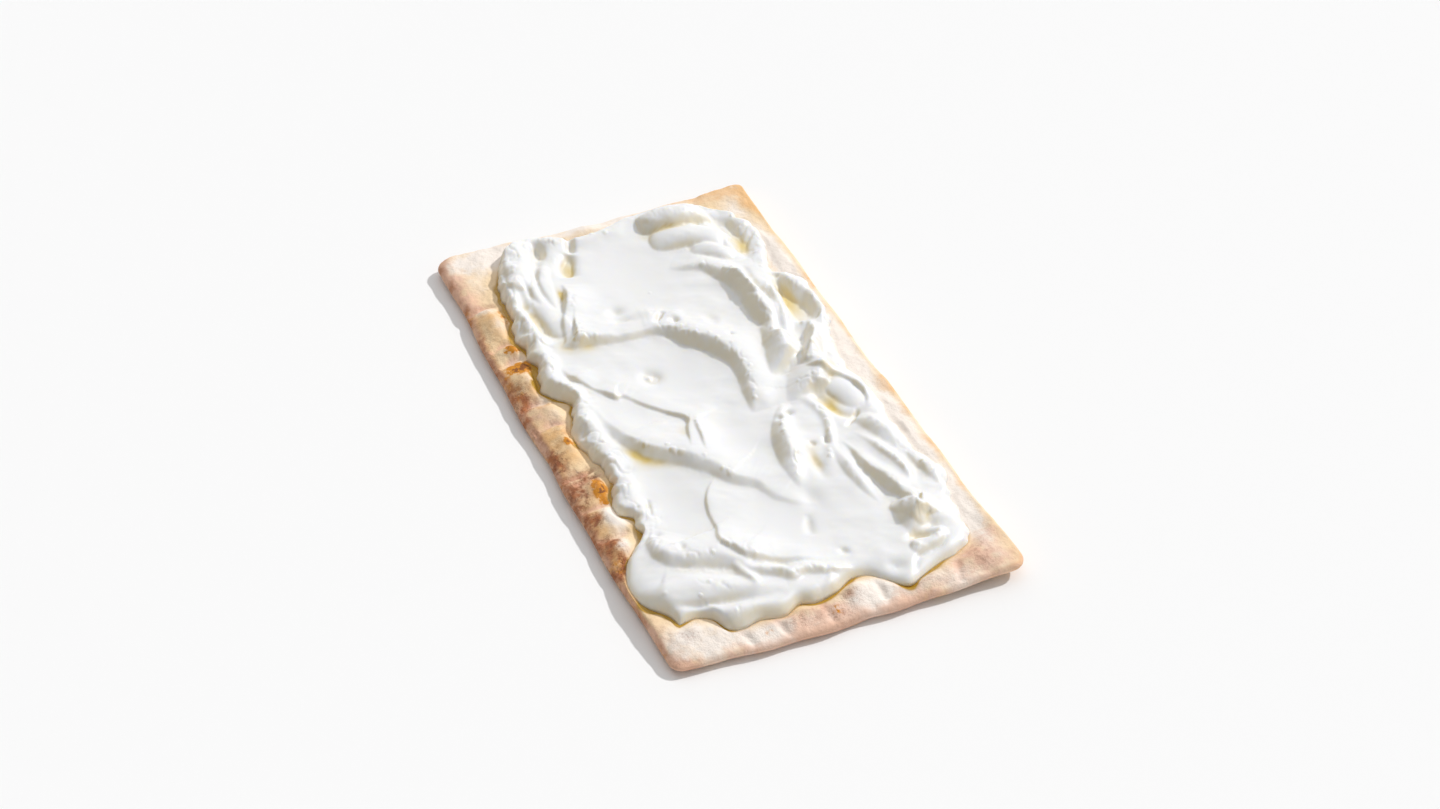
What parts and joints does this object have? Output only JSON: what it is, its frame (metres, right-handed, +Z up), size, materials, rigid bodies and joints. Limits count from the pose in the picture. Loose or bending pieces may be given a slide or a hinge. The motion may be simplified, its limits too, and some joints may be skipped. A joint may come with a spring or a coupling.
{
  "type": "labneh manakish",
  "caption": "Rectangular flatbread with a puffed, toasted rim, spread thickly with labneh in spoon swirls and folds. Lies flat on a surface.",
  "frame": {"origin": "on the table, under the middle of the bread's outline", "axes": "+X across the bread, +Y along it towards the back short side, +Z up out of the labneh"},
  "size_m": [0.1636, 0.3008, 0.02],
  "materials": {
    "bread_crust": "matte baked dough, pale and floury with golden and brown toasting on the puffed rim",
    "labneh": "moist satin white strained yoghurt, warm in the hollows, with a line of golden oil at its edge"
  },
  "bodies": {
    "root": {"bread": "bread_crust", "labneh": "labneh"}
  },
  "joints": []
}
